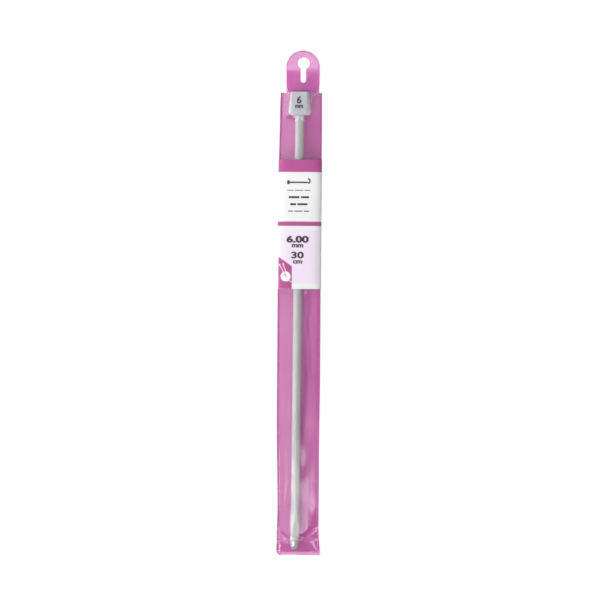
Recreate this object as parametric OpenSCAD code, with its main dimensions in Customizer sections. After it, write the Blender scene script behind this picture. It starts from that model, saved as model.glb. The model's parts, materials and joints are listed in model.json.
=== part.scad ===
// A tricot crochet hook in its retail pouch, hanging by the hole in the pouch's tab.
// The origin is the centre of the hang hole, on the front face of the back panel.
// +X is to the viewer's right, +Y is towards the wall, and +Z is up.

/* [Hook] */
// Diameter of the round shaft, which is the size that the hook is sold by
shaft_d = 6; // [4:0.5:6]
// Length from the top of the head to the tip
hook_l = 300; // [200:5:350]
// Widest diameter of the bulb at the tip
bulb_d = 6; // [4:0.1:6]
// Distance from the tip to the widest place of the bulb
bulb_rise = 5.2; // [4:0.1:6]
// Distance from the tip to the lip where the yarn is caught
lip_rise = 8.6; // [7.5:0.1:9.5]
// How deep the throat is cut into the shaft
throat_depth = 2.4; // [1.6:0.1:2.6]
// Length of the sloping floor of the throat
throat_l = 10.5; // [8:0.5:14]
// How far the throat is turned from the front, towards the right
throat_turn = 20; // [-180:5:180]

/* [Head] */
// Height of the moulded head
head_l = 15.3; // [13:0.1:18]
// Width of the head at its top
head_top_w = 12; // [10:0.1:13]
// Width of the head at its widest
head_w = 14.7; // [13:0.1:16]
// Depth of the head at its top
head_top_depth = 8; // [7.5:0.1:9]
// Depth of the head at its deepest
head_depth = 9; // [8.5:0.1:10]
// Width of the flat front face at the top of the head
face_top_w = 9; // [7:0.1:10]
// Width of the flat front face at the foot of the head
face_w = 7.2; // [5:0.1:8]
// How far the front face is turned, towards the left when negative
head_turn = -5; // [-8:1:8]
// How deep the shaft is pressed into the head
socket_depth = 11; // [8:0.5:12]

/* [Pouch] */
// Flat width of the pouch
pouch_w = 28.6; // [28:0.1:34]
// Thickness of the back panel's vinyl
panel_t = 0.25; // [0.2:0.05:0.4]
// Thickness of the clear front film
film_t = 0.2; // [0.15:0.05:0.3]
// Width of the weld along each side
side_weld = 1.2; // [0.8:0.1:2]
// Height of the flat hem below the bottom weld
hem = 2.8; // [2:0.1:6]
// Radius of the one rounded corner at the bottom
corner_r = 3; // [1:0.5:6]

/* [Hang tab] */
// Drop from the hang hole to the mouth of the pouch
mouth_drop = 19.5; // [18:0.5:24]
// Width of the tab
tab_w = 22.1; // [20:0.1:24]
// Height of the tab's top above the centre of the hang hole
tab_rise = 8.5; // [7.5:0.1:10]
// Thickness of the reinforcing tab in front of the back panel
tab_t = 0.4; // [0.3:0.05:0.5]
// Diameter of the hang hole
hole_d = 7.9; // [6:0.1:9]
// Width of the slot below the hang hole
slot_w = 3.6; // [3:0.1:4]
// Drop from the hang hole to the foot of the slot
slot_drop = 12.8; // [10:0.1:14]
// Width of the stem that is welded inside the mouth
stem_w = 14.2; // [10:0.1:16]
// Drop from the hang hole to the foot of the stem
stem_drop = 27; // [25:0.5:30]

/* [Label] */
// Height of the wrap-around label
label_l = 84.5; // [40:0.5:120]
// Drop from the mouth of the pouch to the top of the label
label_drop = 44.2; // [40:0.5:60]
// Thickness of the label's paper
label_t = 0.2; // [0.15:0.05:0.3]

/* [Hidden] */
$fn = 64;

// Places along X. The tab and the hole stand a little off the middle of the pouch.
pouch_x = -1.7;
tab_x = -0.45;
hook_x = -2.33;
slot_x = -0.2;
half_w = pouch_w / 2;

// Places along Z
head_rise = 0.4;
tip_gap = 1;
mouth_z = -mouth_drop;
head_top_z = mouth_z + head_rise;
head_foot_z = head_top_z - head_l;
weld_z = head_top_z - hook_l - tip_gap;
bottom_z = weld_z - hem;
label_top_z = mouth_z - label_drop;

// The hook leans in the pouch: its tip is further to the left and nearer to the back panel.
running_gap = 0.3;
shaft_r = shaft_d / 2;
head_axis_h = head_depth / 2 + tab_t + running_gap;
tip_axis_h = shaft_r + running_gap;
lean = 0.28;
pitch = atan((head_axis_h - tip_axis_h) / hook_l);

// The head, whose edges are round
head_top_r = 0.6;
head_foot_r = 2.6;
foot_r_share = 0.85;
side_share = 0.5;

// The hook end
neck_share = 0.86;
neck_r = neck_share * shaft_r;
neck_rise = lip_rise + 1;
neck_l = 6;
bulb_r = bulb_d / 2;
bulb_shift = 0.4;
bulb_tuck = 0.2;
throat_root_r = 0.9;
lip_undercut = 0.4;
lip_slant = 70;
profile_steps = 16;

// The clear film. It is drawn from the side welds over a wide crown above the shaft,
// and over a flat crown with tight edges above the head.
film_gap = 0.5;
head_crown_half = 5.2;
head_crown_r = 1.6;
shaft_crown_r = 9;
head_taper = 16;
end_wall = 9;
end_power = 3;
side_steps = 9;
side_bias = 1.6;

// The label, an arch with a wider crown
label_crown_r = 10;
label_gap = 0.1;
cut = 1;

// --- shapes of the sheets ---

function mix(a, b, share) = a + (b - a) * share;
function clamped(v) = min(1, max(0, v));
function smooth(v) = clamped(v) * clamped(v) * (3 - 2 * clamped(v));

// Where the hook's own axis lies at height z
function axis_x(z) = hook_x - (head_top_z - z) * tan(lean);
function axis_h(z) = head_axis_h - (head_top_z - z) * tan(pitch);

// Height of a sheet drawn tight from a weld at distance d over a round crown, at distance u from the crown.
// The crown has radius r and its top is at height top.
function tight(u, d, top, r) =
    let(c = top - r, slope = atan2(c, d) + asin(r / norm([d, c])))
    u >= d ? 0 : u < r * sin(slope) ? c + sqrt(r * r - u * u) : (d - u) * tan(slope);

// 1 beside the head, and 0 from head_taper below it
function head_share(z) = smooth((z - head_foot_z + head_taper) / head_taper);

// 1 along the pouch, and down to 0 at the bottom weld in a full round end
function end_share(z) =
    let(down = clamped((weld_z + end_wall - z) / end_wall))
    pow(1 - pow(down, end_power), 1 / end_power);

function crown_half(z) = head_crown_half * head_share(z);
function crown_r(z) = mix(shaft_crown_r, head_crown_r, head_share(z));
function crown_top(z) =
    end_share(z) * (axis_h(z) + film_gap + mix(shaft_r, head_depth / 2, head_share(z)));

// Distance from the crown to the edge of the sheet on one side, -1 for the left and 1 for the right
function reach(z, side, edge) = abs(pouch_x + side * edge - axis_x(z)) - crown_half(z);

// One side of a cross-section as [x, y, z] points, from the crown outwards
function side_points(z, side, edge, top, r, lift) =
    [for (i = [0:side_steps])
        let(u = reach(z, side, edge) * pow(i / side_steps, side_bias))
        [axis_x(z) + side * (crown_half(z) + u), -lift - tight(u, reach(z, side, edge), top, r), z]];

// A whole cross-section from the left edge to the right edge
function section(z, edge, flat_edge, top, r, lift) = concat(
    [[pouch_x - edge - flat_edge, -lift, z]],
    [for (i = [side_steps:-1:0]) side_points(z, -1, edge, top, r, lift)[i]],
    [[axis_x(z), -lift - top, z]],
    side_points(z, 1, edge, top, r, lift),
    [[pouch_x + edge + flat_edge, -lift, z]]);

function joined(rows) = [for (row = rows) each row];

// A closed sheet between two grids of points. Rows run downwards, and points run to the right.
module sheet(inner, outer) {
    m = len(inner);
    n = len(inner[0]);
    function in(j, i) = j * n + i;
    function out(j, i) = (m + j) * n + i;
    cells = [for (j = [0:m - 2], i = [0:n - 2]) [j, i]];
    front = [for (c = cells) let(j = c[0], i = c[1])
        each [[out(j, i), out(j, i + 1), out(j + 1, i + 1)], [out(j, i), out(j + 1, i + 1), out(j + 1, i)]]];
    back = [for (c = cells) let(j = c[0], i = c[1])
        each [[in(j + 1, i + 1), in(j, i + 1), in(j, i)], [in(j + 1, i), in(j + 1, i + 1), in(j, i)]]];
    ends = [for (i = [0:n - 2])
        each [[out(0, i + 1), out(0, i), in(0, i), in(0, i + 1)],
              [out(m - 1, i), out(m - 1, i + 1), in(m - 1, i + 1), in(m - 1, i)]]];
    sides = [for (j = [0:m - 2])
        each [[out(j, 0), out(j + 1, 0), in(j + 1, 0), in(j, 0)],
              [out(j + 1, n - 1), out(j, n - 1), in(j, n - 1), in(j + 1, n - 1)]]];
    polyhedron(concat(joined(inner), joined(outer)), concat(front, back, ends, sides));
}

// --- flat outlines, drawn in X and Z ---

// Stands a flat outline up, with its front face at y and its thickness t behind that
module upright(y, t) {
    translate([0, y + t, 0])
        rotate([90, 0, 0])
            linear_extrude(t)
                children();
}

// The hang hole with its slot
module keyhole() {
    circle(d = hole_d);
    translate([slot_x - slot_w / 2, slot_w / 2 - slot_drop])
        square([slot_w, slot_drop - slot_w / 2]);
    translate([slot_x, slot_w / 2 - slot_drop])
        circle(d = slot_w);
}

// A tongue with a half-round top, down to z
module dome(z) {
    dome_r = tab_w / 2;
    dome_z = tab_rise - dome_r;
    translate([tab_x, dome_z])
        circle(r = dome_r);
    translate([tab_x - dome_r, z])
        square([tab_w, dome_z - z]);
}

// The fillet between the tab and its stem, on one side of the stem
module stem_fillet(side, foot_z) {
    fillet_r = 1.4;
    corner_x = pouch_x + side * stem_w / 2;
    difference() {
        translate([corner_x - fillet_r * (1 - side) / 2, foot_z - fillet_r])
            square([fillet_r, fillet_r + cut]);
        translate([corner_x + side * fillet_r, foot_z - fillet_r])
            circle(r = fillet_r);
    }
}

// --- the sub-parts ---

// The tinted back of the pouch with the tongue that it hangs by
module back_panel() {
    color([0.80, 0.47, 0.69])
        upright(0, panel_t)
            difference() {
                union() {
                    dome(mouth_z - cut);
                    translate([pouch_x - half_w + corner_r, bottom_z])
                        square([pouch_w - corner_r, mouth_z - bottom_z]);
                    translate([pouch_x - half_w, bottom_z + corner_r])
                        square([pouch_w, mouth_z - bottom_z - corner_r]);
                    translate([pouch_x - half_w + corner_r, bottom_z + corner_r])
                        circle(r = corner_r);
                }
                keyhole();
            }
}

// The second layer of vinyl on the tongue, whose stem is welded inside the mouth
module hang_tab() {
    foot_r = 5.5;
    foot_overlap = 2;
    foot_z = mouth_z - foot_overlap;
    color([0.83, 0.42, 0.66])
        upright(-tab_t, tab_t)
            difference() {
                union() {
                    dome(foot_z + foot_r);
                    for (side = [-1, 1])
                        translate([tab_x + side * (tab_w / 2 - foot_r), foot_z + foot_r])
                            circle(r = foot_r);
                    translate([tab_x - tab_w / 2 + foot_r, foot_z])
                        square([tab_w - 2 * foot_r, foot_r + cut]);
                    translate([pouch_x - stem_w / 2, -stem_drop])
                        square([stem_w, stem_drop + foot_z + foot_r]);
                    stem_fillet(1, foot_z);
                }
                keyhole();
            }
}

// The clear film, welded to the back panel along both sides and the bottom, and open at the mouth
module front_film() {
    head_rows = 4;
    taper_rows = 8;
    shaft_rows = 6;
    wall_rows = 12;
    shaft_top_z = head_foot_z - head_taper;
    wall_z = weld_z + end_wall;
    heights = concat(
        [for (i = [0:head_rows - 1]) mix(mouth_z, head_foot_z, i / head_rows)],
        [for (i = [0:taper_rows - 1]) head_foot_z - head_taper * i / taper_rows],
        [for (i = [0:shaft_rows - 1]) mix(shaft_top_z, wall_z, i / shaft_rows)],
        [for (i = [0:wall_rows]) wall_z - end_wall * sin(90 * i / wall_rows)],
        [bottom_z]);
    weld_x = half_w - side_weld;
    rows = function(lift)
        [for (z = heights) section(z, weld_x, side_weld, crown_top(z), crown_r(z), lift)];
    color([0.95, 0.90, 0.95, 0.35])
        difference() {
            sheet(rows(0), rows(film_t));
            // the round corner that it shares with the back panel
            upright(-film_t - cut, film_t + 2 * cut)
                translate([pouch_x - half_w, bottom_z])
                    difference() {
                        translate([-cut, -cut])
                            square(corner_r + cut);
                        translate([corner_r, corner_r])
                            circle(r = corner_r);
                    }
        }
}

// The printed label, wrapped round the pouch and stuck to itself at the back
module label_band() {
    label_rows = 4;
    foot_z = label_top_z - label_l;
    inner_x = half_w + label_gap;
    inner_h = film_t + label_gap;
    back_y = panel_t + label_gap;
    heights = [for (i = [0:label_rows]) mix(label_top_z, foot_z, i / label_rows)];
    rows = function(lift)
        [for (z = heights) section(z, inner_x, label_t, crown_top(z) + label_gap, label_crown_r, lift)];
    color([0.95, 0.95, 0.95]) {
        sheet(rows(inner_h), rows(inner_h + label_t));
        translate([pouch_x - inner_x - label_t, back_y, foot_z])
            cube([2 * (inner_x + label_t), label_t, label_l]);
        for (side = [-1, 1])
            translate([pouch_x + side * (inner_x + label_t / 2) - label_t / 2, -inner_h, foot_z])
                cube([label_t, inner_h + back_y, label_l]);
    }
}

// Moves a piece drawn along the Z axis, with the top of the head at 0, onto the hook's own axis
module on_hook_axis() {
    translate([hook_x, -head_axis_h, head_top_z])
        rotate([pitch, lean, 0])
            children();
}

// The outline of the bulb from the tip up, as [radius, height above the tip] points
function bulb_points() = concat(
    [for (i = [0:profile_steps])
        let(a = 90 * i / profile_steps) [bulb_r * sin(a), bulb_rise * (1 - cos(a))]],
    [for (i = [1:profile_steps])
        let(share = i / profile_steps)
        [mix(bulb_r, neck_r - bulb_tuck, smooth(share)), mix(bulb_rise, neck_rise, share)]],
    [[0, neck_rise]]);

// What is cut away for the throat, seen from its side, with the lip undercut to hold the yarn
module throat_profile() {
    root_x = shaft_r - throat_depth + throat_root_r;
    root_z = lip_rise + lip_undercut;
    clear_x = shaft_r + cut;
    translate([root_x, root_z])
        circle(r = throat_root_r);
    polygon([
        [root_x - throat_root_r, root_z],
        [shaft_r, root_z + throat_l],
        [clear_x, root_z + throat_l + cut],
        [clear_x, root_z],
        [root_x + throat_root_r * cos(lip_slant), root_z - throat_root_r * sin(lip_slant)]]);
}

// The aluminium rod with the worked hook end
module hook_shaft() {
    color([0.77, 0.77, 0.76])
        on_hook_axis()
            translate([0, 0, -hook_l])
                difference() {
                    union() {
                        rotate_extrude()
                            polygon([
                                [0, neck_rise - cut],
                                [neck_r, neck_rise - cut],
                                [neck_r, neck_rise],
                                [shaft_r, neck_rise + neck_l],
                                [shaft_r, hook_l - head_l + socket_depth],
                                [0, hook_l - head_l + socket_depth]]);
                        translate([-bulb_shift, 0, 0])
                            rotate_extrude()
                                polygon(bulb_points());
                    }
                    // the cut's own +X is turned to face the front
                    rotate([0, 0, throat_turn - 90])
                        rotate([90, 0, 0])
                            translate([0, 0, -shaft_d])
                                linear_extrude(2 * shaft_d)
                                    throat_profile();
                }
}

// The eight round corners of the head at one height
module head_ring(z, w, depth, face, r) {
    for (x = [-1, 1], y = [-1, 1]) {
        translate([x * face / 2, y * (depth / 2 - r), z])
            sphere(r = r, $fn = 32);
        translate([x * (w / 2 - r), y * side_share * (depth / 2 - r), z])
            sphere(r = r, $fn = 32);
    }
}

// The moulded head that stops the stitches, with a blind socket for the shaft
module stopper_head() {
    foot_inset = head_foot_r * foot_r_share;
    color([0.74, 0.77, 0.78])
        on_hook_axis()
            difference() {
                intersection() {
                    rotate([0, 0, head_turn])
                        hull() {
                            head_ring(-head_top_r, head_top_w, head_top_depth, face_top_w, head_top_r);
                            head_ring(-head_l + foot_inset, head_w, head_depth, face_w, head_foot_r);
                        }
                    // the foot is flat round the shaft
                    translate([-head_w, -head_w, -head_l])
                        cube([2 * head_w, 2 * head_w, head_l]);
                }
                translate([0, 0, -head_l - cut])
                    cylinder(r = shaft_r, h = socket_depth + cut);
            }
}

back_panel();
hang_tab();
front_film();
label_band();
hook_shaft();
stopper_head();
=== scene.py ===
import json
import math

import bmesh
import bpy
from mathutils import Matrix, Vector, noise
from mathutils.bvhtree import BVHTree
from mathutils.geometry import delaunay_2d_cdt


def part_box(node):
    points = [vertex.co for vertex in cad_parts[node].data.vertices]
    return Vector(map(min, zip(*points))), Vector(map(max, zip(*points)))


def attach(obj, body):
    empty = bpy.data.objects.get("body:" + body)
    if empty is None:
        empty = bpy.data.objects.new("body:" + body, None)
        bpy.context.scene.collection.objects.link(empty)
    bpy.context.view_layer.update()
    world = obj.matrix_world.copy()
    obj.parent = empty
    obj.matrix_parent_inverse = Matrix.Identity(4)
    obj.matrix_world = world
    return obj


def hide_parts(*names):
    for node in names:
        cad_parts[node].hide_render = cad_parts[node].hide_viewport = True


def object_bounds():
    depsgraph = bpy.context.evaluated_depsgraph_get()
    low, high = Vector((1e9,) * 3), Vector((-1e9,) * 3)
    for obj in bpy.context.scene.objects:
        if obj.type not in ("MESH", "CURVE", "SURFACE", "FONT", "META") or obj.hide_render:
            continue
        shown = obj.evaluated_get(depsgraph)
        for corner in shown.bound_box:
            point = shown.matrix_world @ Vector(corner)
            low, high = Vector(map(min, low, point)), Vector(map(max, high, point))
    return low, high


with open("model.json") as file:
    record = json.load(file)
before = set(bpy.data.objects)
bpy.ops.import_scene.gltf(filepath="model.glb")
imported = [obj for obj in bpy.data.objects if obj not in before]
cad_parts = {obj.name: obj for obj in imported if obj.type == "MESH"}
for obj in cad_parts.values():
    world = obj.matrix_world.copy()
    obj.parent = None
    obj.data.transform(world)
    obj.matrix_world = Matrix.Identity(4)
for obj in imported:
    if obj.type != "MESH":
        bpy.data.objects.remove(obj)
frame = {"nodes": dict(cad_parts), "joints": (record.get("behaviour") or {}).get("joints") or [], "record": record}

MM = 0.001
cad_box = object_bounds()

# ---------------------------------------------------------------- the frame, in millimetres


def box_mm(node):
    """A node's lowest and highest corners, in millimetres."""
    low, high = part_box(node)
    return low / MM, high / MM


panel_low, panel_high = box_mm("back_panel")
film_high = box_mm("front_film")[1]
tab_low, tab_high = box_mm("hang_tab")
label_low, label_high = box_mm("label_band")
head_low, head_high = box_mm("stopper_head")
shaft_low = box_mm("hook_shaft")[0]

left_x, right_x = panel_low.x, panel_high.x
pouch_x = (left_x + right_x) / 2
pouch_w = right_x - left_x
mouth_z = film_high.z
bottom_z = panel_low.z
tab_x = (tab_low.x + tab_high.x) / 2
tab_r = (tab_high.x - tab_low.x) / 2
dome_z = tab_high.z - tab_r
stem_foot_z = tab_low.z
hole_r = frame["record"]["mounts"][0]["dims"]["r_mm"]
head_foot_z = head_low.z

# What the boxes don't tell: the sheets' thicknesses, the slot below the hang hole, the welds, the round
# corner at the bottom left, how far the tab's wide part reaches below the mouth, and its stem's half width
panel_t, tab_t, film_t, paper_t = 0.25, 0.4, 0.2, 0.2
slot_x, slot_half, slot_foot_z = -0.2, 1.8, -12.8
side_weld, bottom_weld = 1.2, 2.8
corner_r = 3.0
tab_tuck = 2.0
stem_half = 7.1
weld_z = bottom_z + bottom_weld
tab_foot_z = mouth_z - tab_tuck

# The hook's own axis runs through the middle of the head's widest part, along the joint that slides it out.
slide_axis = Vector(frame["joints"][0]["axis"])
widest_rise = 3.4
head_mid = (head_low + head_high) / 2
head_mid.z = head_foot_z + widest_rise


def axis_x(z):
    """Where the hook's axis is at height z, across the pouch."""
    return head_mid.x + (z - head_mid.z) * slide_axis.x / slide_axis.z


def axis_h(z):
    """How far the hook's axis stands in front of the back panel at height z."""
    return -head_mid.y - (z - head_mid.z) * slide_axis.y / slide_axis.z


# ---------------------------------------------------------------- small numeric helpers


def mix(a, b, share):
    """The value at a share of the way from a to b."""
    return a + (b - a) * share


def clamped(v):
    """v, held between 0 and 1."""
    return min(1.0, max(0.0, v))


def smooth(v):
    """v, held between 0 and 1, with a soft start and end."""
    v = clamped(v)
    return v * v * (3 - 2 * v)


def along(points, v):
    """The value at v of a smooth curve through (place, value) points, in rising order of place."""
    if v <= points[0][0]:
        return points[0][1]
    for (a, value_a), (b, value_b) in zip(points, points[1:]):
        if v <= b:
            return mix(value_a, value_b, smooth((v - a) / (b - a)))
    return points[-1][1]


def ripple(x, z, across, down, seed):
    """Even noise from -1 to 1 whose waves are across wide and down long, in millimetres."""
    return noise.noise(Vector((x / across, z / down, seed)))


# ---------------------------------------------------------------- the shape of the pouch

# How far the filled pouch's edges draw in from its flat width, at drops below the hang hole's middle
LEFT_INSET = [(19, 1.1), (30, 0.75), (68, 0.2), (105, -0.1), (230, -0.1), (295, 0.75), (312, 0.3), (323, 0.1)]
RIGHT_INSET = [(19, 0.5), (44, 0.4), (105, 0.6), (200, 0.5), (255, 0.9), (305, 0.85), (323, -0.15)]
# How far the back panel bellies out behind the hook, at the same drops. The label holds it flat.
BELLY = [(10, 0.0), (40, 0.5), (58, 0.0), (154, 0.0), (190, 0.8), (290, 1.3), (314, 0.5), (321, 0.0)]
# Length above the mouth over which the tongue stops drawing in
INSET_FADE = 7


def inset(x, z):
    """How far a point of the flat pouch moves to the right when the pouch is filled."""
    share = clamped((x - left_x) / pouch_w)
    fade = smooth((mouth_z + INSET_FADE - z) / INSET_FADE)
    pull = along(LEFT_INSET, -z) * (1 - share) ** 6 - along(RIGHT_INSET, -z) * share ** 6
    return fade * pull


def belly(x, z):
    """How far the back panel stands behind its flat plane."""
    share = clamped((x - left_x) / pouch_w)
    return along(BELLY, -z) * math.sin(math.pi * share) ** 0.8


# The tab's lean: the height where it starts, its slope, and how soft the bend is at its left and right
BEND_Z, BEND_SLOPE, BEND_LEFT, BEND_RIGHT = -5.0, 0.15, 0.8, 3.0


def tab_bend(x, z):
    """The tab leans back a little above the slot, most sharply at its left."""
    softness = mix(BEND_LEFT, BEND_RIGHT, clamped((x - tab_low.x) / (2 * tab_r)))
    return BEND_SLOPE * softness * math.log1p(math.exp((z - BEND_Z) / softness))


def flat_point(x, z, lift):
    """Where a point of the flat back panel goes, lift in front of the panel's own front face."""
    return (x + inset(x, z), belly(x, z) + tab_bend(x, z) - lift, z)


def tight(u, reach, top, r):
    """Height of a sheet drawn tight over a round crown, at u from it. Its edge is at reach."""
    centre = top - r
    slope = math.atan2(centre, reach) + math.asin(min(1.0, r / math.hypot(reach, centre)))
    if u >= reach:
        return 0.0
    if u < r * math.sin(slope):
        return centre + math.sqrt(r * r - u * u)
    return (reach - u) * math.tan(slope)


# Length below the head over which the film narrows from the head to the shaft
HEAD_TAPER = 3
# How high the shaft and the head rise over the hook's axis, and the film's gap from both
SHAFT_RISE, HEAD_RISE, FILM_GAP = 3.0, 4.5, 0.5
# Drops from the label's top between which the label draws the film down from the head's height
DRAW_START, DRAW_END = 2, 26
# Half width of the film's flat top over the head, and the radius of its shoulders there and over the shaft
HEAD_TOP_HALF, HEAD_SHOULDER_R, CROWN_R = 5.2, 1.6, 5.5


def head_share(z):
    """1 where the film lies over the head, and 0 where it lies over the shaft alone."""
    return smooth((z - head_foot_z + HEAD_TAPER) / HEAD_TAPER)


def crown_top(z):
    """Height of the film over the hook's axis. The label draws it down from the head to the shaft."""
    high = smooth((z - label_high.z + DRAW_END) / (DRAW_END - DRAW_START))
    return axis_h(z) + FILM_GAP + mix(SHAFT_RISE, HEAD_RISE, high)


def crown_half(z):
    """Half width of the film's flat top over the hook."""
    return HEAD_TOP_HALF * head_share(z)


def edge_x(z, side):
    """The filled pouch's left or right edge, for side -1 or 1."""
    x = left_x if side < 0 else right_x
    return x + inset(x, z)


def crease(x, z, start, end, width, height):
    """A fold line of the film from start to end, as a ridge that dies out at both ends."""
    a, b = Vector(start), Vector(end)
    run = b - a
    share = (Vector((x, z)) - a).dot(run) / run.length_squared
    if not 0 < share < 1:
        return 0.0
    off = (Vector((x, z)) - a - run * share).length
    return height * math.sin(math.pi * share) * math.exp(-((off / width) ** 2))


# The folds that fan out from the head and from the tip, as start, end, width, height
tip_x, tip_z = axis_x(shaft_low.z), shaft_low.z
CREASES = [
    ((axis_x(-30) + 7, -30), (right_x - 2, -58), 1.0, 0.35),
    ((axis_x(-34) + 6, -36), (right_x - 4, -62), 0.8, 0.25),
    ((axis_x(-30) - 7, -30), (left_x + 2, -52), 1.0, 0.30),
    ((tip_x + 3, tip_z + 4), (right_x - 1, tip_z + 17), 1.1, 0.55),
    ((tip_x + 2, tip_z + 9), (right_x - 1, tip_z + 7), 0.9, 0.35),
    ((tip_x - 3, tip_z + 8), (left_x + 1, tip_z + 15), 1.0, 0.45),
    ((tip_x - 3, tip_z + 3), (left_x + 1, tip_z + 6), 0.9, 0.30),
]


# Distance outside the label over which the film gets free of it
LABEL_HOLD = 4
# The film's loose ripples, as height, width, length and seed
RIPPLES = [(0.35, 5, 42, 3.1), (0.15, 2.2, 16, 8.7)]
# Length over which the film rises from the bottom weld, over the hook and at the side welds
MIDDLE_WALL, SIDE_WALL = 9.0, 15.0


def under_label(z):
    """1 where the label holds the film down, and 0 a little way outside it."""
    outside = max(z - label_high.z, label_low.z - z)
    return smooth(1 - outside / LABEL_HOLD)


def film_height(x, z):
    """Height of the inner face of the clear film over the back panel's front face."""
    side = -1 if x < axis_x(z) else 1
    reach = abs(edge_x(z, side) - side * side_weld - axis_x(z)) - crown_half(z)
    u = max(0.0, abs(x - axis_x(z)) - crown_half(z))
    off = clamped(u / reach)
    wall = mix(MIDDLE_WALL, SIDE_WALL, off)
    end = max(0.0, 1 - clamped((weld_z + wall - z) / wall) ** 3) ** (1 / 3)
    r = mix(CROWN_R, HEAD_SHOULDER_R, head_share(z))
    height = tight(u, reach, end * crown_top(z), r)
    loose = end * (1 - under_label(z))
    slack = 4 * off * (1 - off) * loose
    height += slack * sum(rise * ripple(x, z, *waves) for rise, *waves in RIPPLES)
    height += loose * sum(crease(x, z, *c) for c in CREASES)
    return max(0.0, height)


# ---------------------------------------------------------------- mesh building


def piece(name, points, faces, materials, body):
    """A new smooth object from points in millimetres, riding on a body."""
    mesh = bpy.data.meshes.new(name)
    mesh.from_pydata([tuple(c * MM for c in p) for p in points], [], faces)
    mesh.update()
    obj = bpy.data.objects.new(name, mesh)
    bpy.context.scene.collection.objects.link(obj)
    for m in materials:
        mesh.materials.append(m)
    mesh.shade_smooth()
    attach(obj, body)
    return obj


def face_front(obj):
    """Turns every face of a front sheet so that its outer side faces the viewer."""
    mesh = obj.data
    bm = bmesh.new()
    bm.from_mesh(mesh)
    for f in bm.faces:
        if f.normal.y > 0:
            f.normal_flip()
    bm.to_mesh(mesh)
    bm.free()


def thicken(obj, thickness, rim_material=0):
    """Gives a sheet its thickness behind its outer face, with a crisp edge all round."""
    m = obj.modifiers.new("thickness", "SOLIDIFY")
    m.thickness = thickness * MM
    m.offset = -1
    m.use_even_offset = False
    m.material_offset_rim = rim_material
    bpy.context.view_layer.update()
    thick = bpy.data.meshes.new_from_object(obj.evaluated_get(bpy.context.evaluated_depsgraph_get()))
    obj.modifiers.clear()
    thin = obj.data
    obj.data = thick
    bpy.data.meshes.remove(thin)
    thick.name = obj.name
    thick.set_sharp_from_angle(angle=math.radians(40))


def arc(cx, cz, r, start, end, steps):
    """Points of an arc from start to end, in degrees anticlockwise."""
    angles = [math.radians(mix(start, end, i / steps)) for i in range(steps + 1)]
    return [(cx + r * math.cos(a), cz + r * math.sin(a)) for a in angles]


def line(start, end, step):
    """Points from start up to, but not at, end, about a step apart."""
    n = max(1, round(math.dist(start, end) / step))
    return [(mix(start[0], end[0], i / n), mix(start[1], end[1], i / n)) for i in range(n)]


def inside(point, outline):
    """True if the point is within the closed outline."""
    x, z = point
    odd = False
    for (xa, za), (xb, zb) in zip(outline, outline[1:] + outline[:1]):
        if (za > z) != (zb > z) and x < xa + (z - za) / (zb - za) * (xb - xa):
            odd = not odd
    return odd


def inset_loop(outline, depth):
    """The closed outline, drawn in by depth. The outline runs anticlockwise."""
    inner = []
    for before, here, after in zip(outline[-1:] + outline[:-1], outline, outline[1:] + outline[:1]):
        run = Vector(after) - Vector(before)
        inner.append(tuple(Vector(here) + Vector((-run.y, run.x)).normalized() * depth))
    return inner


def fill(outline, hole, spacing, folds=()):
    """A fine triangle mesh of the area within outline and outside hole, as points and faces.
    Its edges also follow each closed line in folds."""
    points, edges = [], []
    for loop in (outline, hole, *folds):
        first = len(points)
        points += [Vector(p) for p in loop]
        edges += [(first + i, first + (i + 1) % len(loop)) for i in range(len(loop))]
    low_x, high_x = min(p[0] for p in outline), max(p[0] for p in outline)
    low_z, high_z = min(p[1] for p in outline), max(p[1] for p in outline)
    row = 0
    z = low_z + spacing / 2
    while z < high_z:
        x = low_x + spacing * (0.5 if row % 2 else 1.0)
        while x < high_x:
            if inside((x, z), outline) and not inside((x, z), hole):
                points.append(Vector((x, z)))
            x += spacing
        z += spacing * 0.87
        row += 1
    verts, _, faces, *_ = delaunay_2d_cdt(points, edges, [], 0, 1e-6)
    kept = []
    for f in faces:
        centre = sum((verts[i] for i in f), Vector((0, 0))) / len(f)
        if inside(centre, outline) and not inside(centre, hole):
            kept.append(tuple(f))
    return verts, kept


def keyhole():
    """The hang hole with its slot, as one closed outline."""
    right, left = slot_x + slot_half, slot_x - slot_half
    right_z, left_z = (-math.sqrt(hole_r**2 - x**2) for x in (right, left))
    start = math.degrees(math.atan2(right_z, right))
    end = 360 + math.degrees(math.atan2(left_z, left))
    foot = slot_foot_z + slot_half
    return (
        arc(0, 0, hole_r, start, end, 44)
        + line((left, left_z), (left, foot), 0.8)[1:]
        + arc(slot_x, foot, slot_half, 180, 360, 18)
        + line((right, foot), (right, right_z), 0.8)[1:]
    )


def dome(foot_z):
    """The tongue's outline from its right foot over the top to its left foot."""
    right, left = tab_x + tab_r, tab_x - tab_r
    return (
        line((right, foot_z), (right, dome_z), 0.9)
        + arc(tab_x, dome_z, tab_r, 0, 180, 48)
        + line((left, dome_z), (left, foot_z), 0.9)[1:]
    )


def hem_z(x):
    """The lower edge of the pouch, which waves a little between its corners."""
    share = (x - left_x) / pouch_w
    return bottom_z + 0.35 * math.sin(math.pi * share) ** 2 + 0.18 * math.sin(7.5 * share)


# ---------------------------------------------------------------- materials


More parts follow.
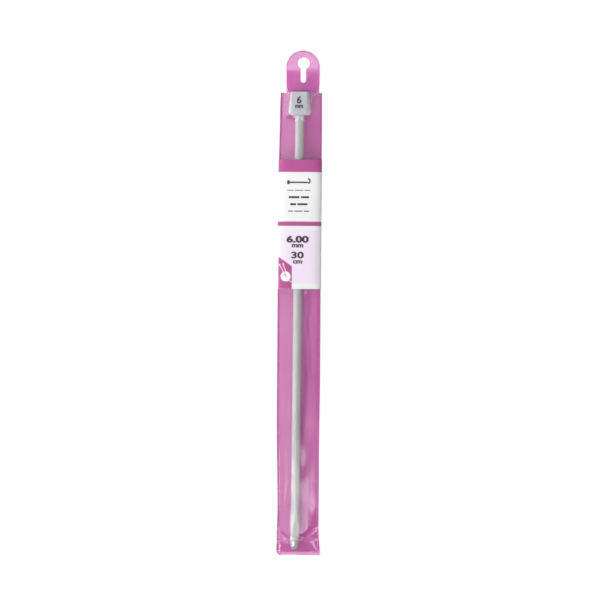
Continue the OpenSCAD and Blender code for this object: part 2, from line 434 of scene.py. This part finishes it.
class Nodes:
    """A material's node tree, with short calls for the nodes used here."""

    def __init__(self, name):
        self.material = bpy.data.materials.new(name)
        self.material.use_nodes = True
        self.tree = self.material.node_tree
        self.tree.nodes.clear()
        self.out = self.tree.nodes.new("ShaderNodeOutputMaterial")

    def add(self, kind, settings=None, **sockets):
        """A new shader node with its settings, and its inputs by name."""
        n = self.tree.nodes.new("ShaderNode" + kind)
        for key, value in (settings or {}).items():
            setattr(n, key, value)
        for key, value in sockets.items():
            self.put(n.inputs[key.replace("_", " ")], value)
        return n

    def put(self, socket, value):
        """Links a socket to the input, or sets the input's value."""
        if isinstance(value, bpy.types.NodeSocket):
            self.tree.links.new(value, socket)
        else:
            socket.default_value = value

    def place(self, scale):
        """Object coordinates stretched by scale, which is three numbers per metre."""
        c = self.add("TexCoord")
        return self.add("Mapping", Vector=c.outputs["Object"], Scale=scale).outputs["Vector"]

    def noise(self, scale, detail=3.0, rough=0.55):
        """Cloudy noise from 0 to 1, with about scale waves per metre each way."""
        n = self.add("TexNoise", Vector=self.place(scale), Scale=1.0, Detail=detail, Roughness=rough)
        return n.outputs["Fac"]

    def ramp(self, value, low, high, start=0.0, end=1.0):
        """Maps value from start..end to the range between low and high."""
        n = self.add("MapRange", Value=value)
        n.inputs["From Min"].default_value = start
        n.inputs["From Max"].default_value = end
        n.inputs["To Min"].default_value = low
        n.inputs["To Max"].default_value = high
        return n.outputs["Result"]

    def blend(self, share, a, b):
        """The colour at a share of the way from a to b."""
        n = self.add("Mix", {"data_type": "RGBA"})
        self.put(n.inputs["Factor"], share)
        self.put(n.inputs[6], a)
        self.put(n.inputs[7], b)
        return n.outputs[2]

    def bump(self, height, strength, distance):
        """The normal of a fine relief."""
        n = self.add("Bump", Height=height, Strength=strength, Distance=distance)
        return n.outputs["Normal"]

    def finish(self, shader):
        """Joins the shader to the output."""
        self.tree.links.new(shader, self.out.inputs["Surface"])
        return self.material


def rgb(r, g, b):
    return (r, g, b, 1.0)


def tinted_vinyl(name, deep, pale, see_through, clear):
    """Soft tinted vinyl: a cloudy tint between deep and pale, with fine streaks from the rollers.
    It lets through the see_through share of the light, tinted clear."""
    n = Nodes(name)
    cloud = n.noise((90, 90, 30))
    streak = n.noise((900, 900, 6), 2.0)
    tint = n.blend(n.ramp(cloud, 0, 1, 0.3, 0.7), deep, pale)
    relief = n.bump(streak, 0.12, 0.0004)
    body = n.add("BsdfPrincipled", Base_Color=tint, Roughness=n.ramp(cloud, 0.16, 0.28), Normal=relief)
    body.inputs["IOR"].default_value = 1.5
    through = n.add("BsdfTransparent", Color=clear)
    both = n.add("MixShader", Fac=see_through)
    n.put(both.inputs[1], body.outputs[0])
    n.put(both.inputs[2], through.outputs[0])
    return n.finish(both.outputs[0])


def clear_film(name):
    """Clear vinyl film: almost all see-through, with a gloss that streaks along the pouch."""
    n = Nodes(name)
    streak = n.noise((500, 500, 8), 3.0)
    relief = n.bump(streak, 0.08, 0.0003)
    haze = n.add("BsdfPrincipled", Base_Color=rgb(0.93, 0.90, 0.93), Normal=relief)
    haze.inputs["Metallic"].default_value = 1.0
    n.put(haze.inputs["Roughness"], n.ramp(streak, 0.05, 0.10))
    through = n.add("BsdfTransparent", Color=rgb(0.985, 0.975, 0.985))
    facing = n.add("LayerWeight", Blend=0.5, Normal=relief).outputs["Facing"]
    rise = n.add("Math", {"operation": "POWER"})
    n.put(rise.inputs[0], facing)
    n.put(rise.inputs[1], 5.0)
    share = n.ramp(rise.outputs[0], 0.045, 0.6)
    both = n.add("MixShader", Fac=share)
    n.put(both.inputs[1], through.outputs[0])
    n.put(both.inputs[2], haze.outputs[0])
    return n.finish(both.outputs[0])


def anodised(name):
    """Satin anodised aluminium: fine lines drawn along the rod, with a slightly uneven sheen."""
    n = Nodes(name)
    grain = n.noise((2600, 2600, 26), 3.0)
    cloud = n.noise((160, 160, 40))
    colour = n.blend(n.ramp(cloud, 0, 1, 0.35, 0.65), rgb(0.40, 0.42, 0.40), rgb(0.45, 0.465, 0.445))
    relief = n.bump(grain, 0.10, 0.0002)
    body = n.add("BsdfPrincipled", Base_Color=colour, Metallic=0.5, Normal=relief)
    n.put(body.inputs["Roughness"], n.ramp(grain, 0.40, 0.52))
    return n.finish(body.outputs[0])


def moulded(name):
    """Moulded grey plastic with a faint spark-eroded texture."""
    n = Nodes(name)
    grit = n.noise((5200, 5200, 5200), 2.0)
    cloud = n.noise((220, 220, 220))
    colour = n.blend(n.ramp(cloud, 0, 1, 0.3, 0.7), rgb(0.43, 0.475, 0.475), rgb(0.48, 0.52, 0.52))
    relief = n.bump(grit, 0.12, 0.0001)
    body = n.add("BsdfPrincipled", Base_Color=colour, Normal=relief)
    n.put(body.inputs["Roughness"], n.ramp(grit, 0.30, 0.42))
    return n.finish(body.outputs[0])


def paper(name, colour, shade):
    """Coated paper: a faint fibre in its colour and relief."""
    n = Nodes(name)
    fibre = n.noise((1500, 1500, 1500), 4.0, 0.65)
    tint = n.blend(n.ramp(fibre, 0, 1, 0.3, 0.7), colour, shade)
    relief = n.bump(fibre, 0.08, 0.0001)
    body = n.add("BsdfPrincipled", Base_Color=tint, Normal=relief)
    n.put(body.inputs["Roughness"], n.ramp(fibre, 0.48, 0.60))
    return n.finish(body.outputs[0])


panel_vinyl = tinted_vinyl(
    "panel_vinyl", rgb(0.52, 0.088, 0.355), rgb(0.60, 0.122, 0.42), 0.28, rgb(0.88, 0.45, 0.74)
)
tab_vinyl = tinted_vinyl(
    "tab_vinyl", rgb(0.48, 0.10, 0.35), rgb(0.55, 0.13, 0.40), 0.08, rgb(0.85, 0.38, 0.68)
)
# The pale rim vinyl is a painted highlight: the light that the vinyl's cut edges catch and carry, painted into
# their colour
painted_edge_highlight = tinted_vinyl(
    "vinyl_painted_edge_highlight", rgb(0.80, 0.40, 0.64), rgb(0.86, 0.50, 0.72), 0.10, rgb(0.9, 0.5, 0.7)
)
film_vinyl = clear_film("film_vinyl")
shaft_metal = anodised("shaft_metal")
head_plastic = moulded("head_plastic")
label_white = paper("label_white", rgb(0.67, 0.67, 0.67), rgb(0.70, 0.70, 0.70))
ink_magenta = paper("ink_magenta", rgb(0.33, 0.046, 0.20), rgb(0.38, 0.056, 0.225))
ink_lilac = paper("ink_lilac", rgb(0.67, 0.58, 0.69), rgb(0.70, 0.61, 0.72))
ink_dark = paper("ink_dark", rgb(0.022, 0.014, 0.026), rgb(0.034, 0.022, 0.040))
ink_white = paper("ink_white", rgb(0.86, 0.84, 0.86), rgb(0.90, 0.88, 0.90))


# ---------------------------------------------------------------- the pouch


def make_back_panel():
    """The tinted back, with its tongue and one round corner."""
    outline = (
        [(x, hem_z(x)) for x, _ in line((left_x + corner_r, 0), (right_x, 0), 1.0)]
        + line((right_x, hem_z(right_x)), (right_x, mouth_z), 2.0)
        + line((right_x, mouth_z), (tab_x + tab_r, mouth_z), 1.0)
        + dome(mouth_z)
        + line((tab_x - tab_r, mouth_z), (left_x, mouth_z), 1.0)
        + line((left_x, mouth_z), (left_x, bottom_z + corner_r), 2.0)
        + arc(left_x + corner_r, bottom_z + corner_r, corner_r, 180, 262, 8)
    )
    verts, faces = fill(outline, keyhole(), 1.15)
    points = [flat_point(x, z, 0) for x, z in verts]
    obj = piece("pouch_back", points, faces, [panel_vinyl, painted_edge_highlight], "pouch")
    face_front(obj)
    # Its rim faces take the second material, the pale painted edge highlight
    thicken(obj, panel_t, 1)
    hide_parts("back_panel")


def make_hang_tab():
    """The second layer on the tongue. Its round foot runs in to a stem inside the mouth."""
    foot_r, fillet_r, bevel = 5.5, 1.4, 1.5
    # rim_w is the width of the ring along the outline. That ring is sunk by rim_drop as a real chamfer, and it is
    # painted with the pale edge highlight
    rim_w, rim_drop = 0.35, 0.2
    corner_z = tab_foot_z + foot_r
    right_stem, left_stem = pouch_x + stem_half, pouch_x - stem_half
    right_c, left_c = tab_x + tab_r - foot_r, tab_x - tab_r + foot_r
    left_turn = math.degrees(math.acos((left_c - left_stem) / foot_r))
    join_z = corner_z - foot_r * math.sin(math.radians(left_turn))
    outline = (
        line((left_stem, stem_foot_z + bevel), (left_stem + bevel, stem_foot_z), 0.7)
        + line((left_stem + bevel, stem_foot_z), (right_stem - bevel, stem_foot_z), 1.0)
        + line((right_stem - bevel, stem_foot_z), (right_stem, stem_foot_z + bevel), 0.7)
        + line((right_stem, stem_foot_z + bevel), (right_stem, tab_foot_z - fillet_r), 0.8)
        + [(right_stem, tab_foot_z - fillet_r)]
        + arc(right_stem + fillet_r, tab_foot_z - fillet_r, fillet_r, 180, 90, 8)[1:-1]
        + arc(right_c, corner_z, foot_r, -90, 0, 16)
        + dome(corner_z)[1:]
        + arc(left_c, corner_z, foot_r, 180, 180 + left_turn, 10)
        + line((left_stem, join_z), (left_stem, stem_foot_z + bevel), 0.8)[1:]
    )
    face_edge = inset_loop(outline, rim_w)
    verts, faces = fill(outline, keyhole(), 0.85, [face_edge])
    points = [flat_point(x, z, tab_t) for x, z in verts]
    on_edge = {i for i, p in enumerate(verts) if min(math.dist(p, q) for q in outline) < 0.001}
    for i in on_edge:
        x, z = verts[i]
        points[i] = flat_point(x, z, tab_t - rim_drop)
    obj = piece("hang_tab_layer", points, faces, [tab_vinyl, painted_edge_highlight], "pouch")
    # Faces in the ring between the outline and face_edge get the pale painted edge highlight. The rest get the
    # tab's own vinyl
    for f in obj.data.polygons:
        centre = sum((verts[i] for i in f.vertices), Vector((0, 0))) / len(f.vertices)
        f.material_index = 0 if inside(centre, face_edge) else 1
    face_front(obj)
    thicken(obj, tab_t - 0.03, 1)  # a hair thinner than its room, to stay clear of the back panel
    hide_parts("hang_tab")


def corner_cut(z):
    """How far the round corner at the bottom left cuts in at height z."""
    rise = clamped((bottom_z + corner_r - z) / corner_r)
    return corner_r * (1 - math.sqrt(1 - rise * rise))


# Distances of the film's outer columns from its edge, which are close together at the weld's bead
WELD_COLUMNS = [0.0, 0.5, 0.85, 1.0, 1.15, side_weld + 0.1]
# The columns on each side of the hook, and the power that brings them closer together over the crown
HALF_COLUMNS, COLUMN_POWER = 26, 0.8
# The film's rows: how many lie 1 mm and then 2 mm apart below the mouth, and their distance near the bottom
HEAD_ROWS, SHAFT_ROWS, TIP_STEP = 40, 124, 0.6


def film_columns(z):
    """Places across the film at height z, dense at the welds and over the crown."""
    left, right, crown = edge_x(z, -1) + corner_cut(z), edge_x(z, 1), axis_x(z)
    start, end = left + WELD_COLUMNS[-1], right - WELD_COLUMNS[-1]
    shares = [(i / HALF_COLUMNS) ** COLUMN_POWER for i in range(HALF_COLUMNS + 1)]
    columns = [left + w for w in WELD_COLUMNS]
    columns += [mix(start, crown, s) for s in shares[1:]]
    columns += [mix(crown, end, 1 - s) for s in reversed(shares[:-1])]
    columns += [right - w for w in reversed(WELD_COLUMNS[:-1])]
    return columns


def film_rows():
    """Heights of the film's rows of points, dense at the head and at the tip."""
    rows = [mouth_z - i for i in range(HEAD_ROWS)]
    rows += [mouth_z - HEAD_ROWS - 2.0 * i for i in range(SHAFT_ROWS)]
    z = rows[-1] - TIP_STEP
    while z > bottom_z + TIP_STEP / 2:
        rows.append(z)
        z -= TIP_STEP
    return rows + [bottom_z]


def weld_ridge(x, z):
    """The fine raised bead that a weld leaves along its inner edge. At the bottom it waves a little."""
    side_place, side_height, side_width = 1.0, 0.09, 0.14
    foot_place, foot_height, foot_width = weld_z + 0.5, 0.10, 0.35
    beside = min(x - edge_x(z, -1), edge_x(z, 1) - x)
    side_bead = side_height * math.exp(-(((beside - side_place) / side_width) ** 2))
    waved_place = foot_place + 0.22 * math.sin(0.55 * x)
    foot_bead = foot_height * math.exp(-(((z - waved_place) / foot_width) ** 2))
    return side_bead + foot_bead


def grid_faces(rows, columns):
    """The faces of a sheet whose points are listed row by row."""
    starts = [j * columns + i for j in range(rows - 1) for i in range(columns - 1)]
    return [(a, a + 1, a + columns + 1, a + columns) for a in starts]


def make_front_film():
    """The clear front, drawn tight over the hook between its welds."""
    rows = film_rows()
    points = []
    for z in rows:
        for x in film_columns(z):
            share = smooth((weld_z - z) / bottom_weld)
            foot = share * (hem_z(x) - bottom_z)
            height = film_height(x, z) + film_t + weld_ridge(x, z)
            back = belly(x, z) * (1 - smooth(height / 3))
            points.append((x, back - height, z + foot))
    faces = grid_faces(len(rows), len(points) // len(rows))
    obj = piece("pouch_front", points, faces, [film_vinyl], "pouch")
    face_front(obj)
    thicken(obj, film_t * 0.8)  # a hair thinner than its room
    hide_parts("front_film")


# The power of the flattened oval that stiff paper makes round the filled pouch. 2 is an ellipse.
LABEL_OVAL = 4.5


def label_path(z):
    """The label's outer face at height z: from a lap at the back, round the right edge, over the front,
    round the left edge, and back over the lap."""
    fold_r, side_gap, front_gap, lap_rise = 0.5, 0.3, 0.2, 0.24
    lap_start, lap_end = pouch_x - 3, pouch_x + 9
    back_y = label_high.y
    left, right = edge_x(z, -1) - side_gap, edge_x(z, 1) + side_gap
    right_c, left_c = right - fold_r, left + fold_r
    fold_y = back_y - fold_r
    path = [(x, back_y) for x, _ in line((pouch_x + 2, 0), (right_c, 0), 1.0)]
    path += arc(right_c, fold_y, fold_r, 90, 0, 4)
    crown = axis_x(z)
    rise = crown_top(z) + film_t + paper_t + front_gap + fold_y
    steps = 56  # along the front
    for i in range(1, steps):
        a = math.pi * i / steps
        across = math.copysign(abs(math.cos(a)) ** (2 / LABEL_OVAL), math.cos(a))
        reach = right - crown if across > 0 else crown - left
        path.append((crown + across * reach, fold_y - rise * math.sin(a) ** (2 / LABEL_OVAL)))
    path += arc(left_c, fold_y, fold_r, 180, 90, 4)
    path += [(x, back_y) for x, _ in line((left_c, 0), (lap_start, 0), 1.0)[1:]]
    for x, _ in line((lap_start, 0), (lap_end, 0), 1.0) + [(lap_end, 0)]:
        path.append((x, back_y + lap_rise * smooth((x - lap_start) / 3)))
    return path


# Drops from the label's top to where its print changes colour, all round the label
BAND_FOOT, STRIPE_TOP, STRIPE_FOOT = 8.1, 40.4, 43.3


def make_label():
    """The paper wrapped round the pouch, with its band and stripe printed all round."""
    top_z, foot_z = label_high.z, label_low.z
    marks = [0, BAND_FOOT, STRIPE_TOP, STRIPE_FOOT, top_z - foot_z]
    drops = []
    for a, b in zip(marks, marks[1:]):
        drops += [d for d, _ in line((a, 0), (b, 0), 3)]
    drops.append(marks[-1])
    points = []
    for d in drops:
        points += [(x, y, top_z - d) for x, y in label_path(top_z - d)]
    faces = grid_faces(len(drops), len(points) // len(drops))
    obj = piece("label_sleeve", points, faces, [label_white, ink_magenta], "pouch")
    for f in obj.data.polygons:
        drop = top_z - f.center.z / MM
        magenta = drop < BAND_FOOT or STRIPE_TOP < drop < STRIPE_FOOT
        f.material_index = 1 if magenta else 0
    thicken(obj, paper_t * 0.9)  # a hair thinner than its room
    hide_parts("label_band")
    return obj


# ---------------------------------------------------------------- print


def shape_mesh(outlines):
    """A flat mesh in X and Z from closed outlines."""
    bm = bmesh.new()
    for outline in outlines:
        bm.faces.new([bm.verts.new((x, 0, z)) for x, z in outline])
    return bm


def text_mesh(body, low, high, weight):
    """Plain lettering scaled to fill the box from low to high."""
    curve = bpy.data.curves.new("lettering", "FONT")
    curve.body = body
    curve.offset = weight
    obj = bpy.data.objects.new("lettering", curve)
    bpy.context.scene.collection.objects.link(obj)
    bpy.context.view_layer.update()
    mesh = bpy.data.meshes.new_from_object(obj.evaluated_get(bpy.context.evaluated_depsgraph_get()))
    bm = bmesh.new()
    bm.from_mesh(mesh)
    bpy.data.objects.remove(obj)
    bpy.data.curves.remove(curve)
    bpy.data.meshes.remove(mesh)
    xs = [v.co.x for v in bm.verts]
    ys = [v.co.y for v in bm.verts]
    for v in bm.verts:
        x = mix(low[0], high[0], (v.co.x - min(xs)) / (max(xs) - min(xs)))
        z = mix(low[1], high[1], (v.co.y - min(ys)) / (max(ys) - min(ys)))
        v.co = (x, 0, z)
    return bm


def join_shapes(shapes):
    """One flat mesh from several."""
    whole = bmesh.new()
    for bm in shapes:
        mesh = bpy.data.meshes.new("part")
        bm.to_mesh(mesh)
        bm.free()
        whole.from_mesh(mesh)
        bpy.data.meshes.remove(mesh)
    return whole


def print_on(target, name, shapes, material, lift, body):
    """Lays flat shapes, drawn in X and Z in millimetres, on the front of target, lift above it."""
    bm = join_shapes(shapes)
    low = min(v.co.x for v in bm.verts)
    high = max(v.co.x for v in bm.verts)
    strip = 0.4  # the shapes are cut into strips, so that they bend with the target
    x = low + strip
    while x < high:
        geometry = bm.verts[:] + bm.edges[:] + bm.faces[:]
        bmesh.ops.bisect_plane(bm, geom=geometry, plane_co=(x, 0, 0), plane_no=(1, 0, 0))
        x += strip
    tree = BVHTree.FromPolygons(
        [target.matrix_world @ v.co for v in target.data.vertices],
        [tuple(p.vertices) for p in target.data.polygons],
    )
    front_y = -0.05  # well in front of the target, in metres
    for v in bm.verts:
        start = Vector((v.co.x * MM, front_y, v.co.z * MM))
        hit = tree.ray_cast(start, Vector((0, 1, 0)))[0]
        v.co.y = (hit.y / MM if hit else 0) - lift
    mesh = bpy.data.meshes.new(name)
    for v in bm.verts:
        v.co = v.co * MM
    bm.to_mesh(mesh)
    bm.free()
    mesh.materials.append(material)
    mesh.shade_smooth()
    obj = bpy.data.objects.new(name, mesh)
    bpy.context.scene.collection.objects.link(obj)
    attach(obj, body)
    face_front(obj)


def bar(x0, x1, z0, z1):
    """A round-cornered bar as an outline."""
    round_share = 0.22
    r = min(x1 - x0, z1 - z0) * round_share
    return (
        arc(x1 - r, z0 + r, r, -90, 0, 4)
        + arc(x1 - r, z1 - r, r, 0, 90, 4)
        + arc(x0 + r, z1 - r, r, 90, 180, 4)
        + arc(x0 + r, z0 + r, r, 180, 270, 4)
    )


def stroke(start, end, width):
    """A straight line of a given width as an outline."""
    a, b = Vector(start), Vector(end)
    side = (b - a).normalized().orthogonal() * width / 2
    return [tuple(p) for p in (a - side, b - side, b + side, a + side)]


def ring(cx, cz, r, width, start, end):
    """A curved line of a given width, as outlines of short pieces."""
    steps = 14
    inner, outer = (arc(cx, cz, r + s * width / 2, start, end, steps) for s in (-1, 1))
    return [[inner[i], outer[i], outer[i + 1], inner[i + 1]] for i in range(steps)]


# Rows of plain bars where words stand, as drop to their middle, height, half width, and gaps between bars
WORD_ROWS = [
    (20.0, 0.5, 7.6, (0.30, 0.72)),
    (24.5, 1.3, 6.7, (0.56,)),
    (29.1, 1.3, 5.7, (0.38,)),
    (33.6, 0.7, 6.8, (0.25, 0.70)),
]

# Lines of the size print, as text, half width, drops to its top and foot, and added weight
SIZE_ROWS = [
    ("6.00", 7.3, 49.6, 54.3, 0.05),
    ("mm", 3.8, 55.1, 57.4, 0.05),
    ("30", 4.1, 60.1, 64.6, 0.04),
    ("cm", 3.1, 65.7, 68.0, 0.05),
]

# Lines on the head, in the same form, with drops from the head's top
HEAD_SIZE_ROWS = [("6", 1.6, 3.1, 8.0, 0.03), ("mm", 2.6, 8.7, 11.0, 0.05)]


def lettering(rows, x, top):
    """Rows of plain lettering, each with its middle at x."""
    return [
        text_mesh(body, (x - half, top - foot), (x + half, top - high), weight)
        for body, half, high, foot, weight in rows
    ]


def word_bars(x0, x1, z, height, gaps):
    """A row of plain bars from x0 to x1, with gaps at shares of its width."""
    stops = [0, *gaps, 1]
    clear = 0.45
    bars = []
    for a, b in zip(stops, stops[1:]):
        start = mix(x0, x1, a) + (clear if a else 0)
        bars.append(bar(start, mix(x0, x1, b) - (clear if b < 1 else 0), z - height / 2, z + height / 2))
    return bars


def hook_sign(x0, x1, z):
    """A plain picture of a hook lying on its side, with its head at x0 and its tip at x1."""
    thick = 0.5
    sign = [bar(x0, x0 + 1.7, z - 1.3, z + 1.3)]
    sign += [bar(x0 + 1.5, x1 - 2.0, z - thick, z + thick)]
    sign += ring(x1 - 2.0, z + 0.9, 1.4, 2 * thick, 270, 450)
    return sign


def make_label_print(label):
    """The label's print. All heights are drops from its top, and each layer lies 0.02 mm over the last."""
    top = label_high.z
    words_x, sizes_x = pouch_x - 0.9, pouch_x - 1.55

    def on_label(name, shapes, material, lift=0.02):
        print_on(label, name, shapes, material, lift, "pouch")

    panel_left, panel_right, panel_foot, panel_top = -15.0, 10.0, top - 80.9, top - 46.0
    panel = [
        (panel_left, panel_foot),
        (panel_right, panel_foot),
        (panel_right, panel_top),
        (panel_left, panel_top),
    ]
    on_label("print_panel", [shape_mesh([panel])], ink_lilac)
    block_left, block_right, block_foot = edge_x(top - 70, -1) + 0.35, -6.9, top - 84.4
    block = [
        (block_left, block_foot),
        (block_right, block_foot),
        (block_right, top - 69.6),
        (block_left, top - 63.4),
    ]
    on_label("print_corner", [shape_mesh([block])], ink_magenta, 0.04)

    words = []
    for drop, height, half, gaps in WORD_ROWS:
        words += word_bars(words_x - half, words_x + half, top - drop, height, gaps)
    on_label("print_word_bars", [shape_mesh(words)], ink_dark)
    sign = hook_sign(words_x - 7.8, words_x + 7.8, top - 14.8)
    on_label("print_hook_sign", [shape_mesh(sign)], ink_dark)
    on_label("print_sizes", lettering(SIZE_ROWS, sizes_x, top), ink_dark, 0.04)

    # a ball of yarn with two knobbed needles and a loose end, at places from the ball's middle
    ball = Vector((-11.0, top - 76.3))
    ball_r, needle_w, knob_r, end_w, thread_w = 3.2, 0.35, 0.45, 0.3, 0.22
    marks = [arc(ball.x, ball.y, ball_r, 0, 350, 35)]
    marks += [stroke(ball + Vector((-1.2, 2.6)), ball + Vector((-3.9, 7.4)), needle_w)]
    marks += [stroke(ball + Vector((0.2, 3.0)), ball + Vector((-1.6, 8.0)), needle_w)]
    marks += [arc(ball.x - 3.95, ball.y + 7.5, knob_r, 0, 330, 11)]
    marks += [arc(ball.x - 1.65, ball.y + 8.1, knob_r, 0, 330, 11)]
    marks += ring(ball.x + 2.5, ball.y - 4.4, 1.5, end_w, 20, 130)
    on_label("print_yarn_ball", [shape_mesh(marks)], ink_white, 0.06)
    threads = []
    for shift in (-0.9, 0.1, 1.1):
        threads += ring(ball.x - 3.4 + shift, ball.y - 1.6, 3.6, thread_w, 2, 58)
        threads += ring(ball.x + 2.6, ball.y + 3.6 + shift, 3.9, thread_w, 200, 250)
    on_label("print_yarn_threads", [shape_mesh(threads)], ink_magenta, 0.08)


def make_head_print(head):
    """The size printed on the head."""
    top = head_high.z
    size = lettering(HEAD_SIZE_ROWS, axis_x(top) - 0.5, top)
    print_on(head, "print_head_size", size, ink_dark, 0.015, "hook")


# ---------------------------------------------------------------- the scene


def make_camera():
    """Straight on from far away, rolled a little, as the pack hangs a little off plumb."""
    data = bpy.data.cameras.new("camera")
    camera = bpy.data.objects.new("camera", data)
    bpy.context.scene.collection.objects.link(camera)
    bpy.context.scene.camera = camera
    distance = 2.2
    view_height = 0.3929
    aim = Vector((-0.00143, -0.005, -0.1554))
    roll = math.radians(-0.39)
    data.sensor_width = 36
    data.lens = data.sensor_width * distance / view_height
    data.clip_end = 30
    bpy.context.scene.view_settings.view_transform = "Standard"
    camera.location = aim - Vector((0, distance, 0))
    camera.rotation_euler = (math.radians(90), roll, 0)


def make_light(name, place, aim, size, power):
    """A softbox of a given size in metres and power in watts."""
    data = bpy.data.lights.new(name, "AREA")
    data.shape = "RECTANGLE"
    data.size, data.size_y = size
    data.energy = power
    obj = bpy.data.objects.new(name, data)
    obj.location = place
    obj.rotation_euler = (Vector(aim) - Vector(place)).to_track_quat("-Z", "Y").to_euler()
    bpy.context.scene.collection.objects.link(obj)


def make_surroundings():
    """A pale round floor well below the pack, a white backdrop and three softboxes."""
    floor_mesh = bpy.data.meshes.new("floor")
    floor_r, floor_z, sides = 2.0, cad_box[0].z - 0.3, 32
    turns = [i / sides * math.tau for i in range(sides)]
    corners = [(floor_r * math.cos(a), floor_r * math.sin(a), floor_z) for a in turns]
    floor_mesh.from_pydata(corners, [], [list(range(sides))])
    floor = bpy.data.objects.new("floor", floor_mesh)
    n = Nodes("floor_paint")
    grain = n.noise((3, 3, 3))
    tint = n.blend(grain, rgb(0.86, 0.86, 0.86), rgb(0.90, 0.90, 0.90))
    paint = n.add("BsdfPrincipled", Base_Color=tint, Roughness=0.8)
    floor_mesh.materials.append(n.finish(paint.outputs[0]))
    bpy.context.scene.collection.objects.link(floor)

    make_world()
    aim = (0, 0, -0.16)
    make_light("top_softbox", (0.0, -1.60, 0.54), aim, (0.35, 0.25), 4.0)
    make_light("left_softbox", (-0.24, -0.42, -0.64), (0, 0, -0.24), (0.28, 0.45), 4.7)
    make_light("low_softbox", (0.0, -0.35, -0.85), (0, 0, -0.31), (1.4, 0.5), 2.8)


# What each glow adds to the light around the object, and the ranges of its direction over which it grows
FRONT_GLOW = 0.17
GLOWS = [
    (3.2, [("Z", -0.062, -0.067), ("Y", -0.20, -0.42)]),
    (1.6, [("X", -0.35, -0.75)]),
    (0.6, [("X", 0.80, 0.95)]),
    (0.2, [("Y", 0.0, 0.35)]),
]


def make_world():
    """A white backdrop, whose light is dim in front but strong low in front and at the left."""
    world = bpy.data.worlds.new("studio")
    world.use_nodes = True
    bpy.context.scene.world = world
    n = world.node_tree.nodes
    links = world.node_tree.links
    n.clear()

    def combined(operation, a, b):
        """The result of a Math node on numbers or sockets."""
        node = n.new("ShaderNodeMath")
        node.operation = operation
        for socket, value in zip(node.inputs, (a, b)):
            if isinstance(value, float):
                socket.default_value = value
            else:
                links.new(value, socket)
        return node.outputs[0]

    way = n.new("ShaderNodeSeparateXYZ")
    links.new(n.new("ShaderNodeTexCoord").outputs["Generated"], way.inputs[0])
    strength = FRONT_GLOW
    for gain, ranges in GLOWS:
        share = gain
        for axis, start, end in ranges:
            grow = n.new("ShaderNodeMapRange")
            grow.interpolation_type = "SMOOTHSTEP"
            links.new(way.outputs[axis], grow.inputs["Value"])
            grow.inputs["From Min"].default_value = start
            grow.inputs["From Max"].default_value = end
            share = combined("MULTIPLY", share, grow.outputs["Result"])
        strength = combined("ADD", strength, share)
    light = n.new("ShaderNodeBackground")
    light.inputs["Color"].default_value = (1, 0.99, 1, 1)
    links.new(strength, light.inputs["Strength"])
    backdrop = n.new("ShaderNodeBackground")
    backdrop.inputs["Color"].default_value = (1, 1, 1, 1)
    both = n.new("ShaderNodeMixShader")
    links.new(n.new("ShaderNodeLightPath").outputs["Is Camera Ray"], both.inputs[0])
    links.new(light.outputs[0], both.inputs[1])
    links.new(backdrop.outputs[0], both.inputs[2])
    links.new(both.outputs[0], n.new("ShaderNodeOutputWorld").inputs["Surface"])


make_camera()
make_surroundings()
make_back_panel()
make_hang_tab()
make_front_film()
label = make_label()
make_label_print(label)
head = frame["nodes"]["stopper_head"]
head.material_slots[0].material = head_plastic
make_head_print(head)
frame["nodes"]["hook_shaft"].material_slots[0].material = shaft_metal
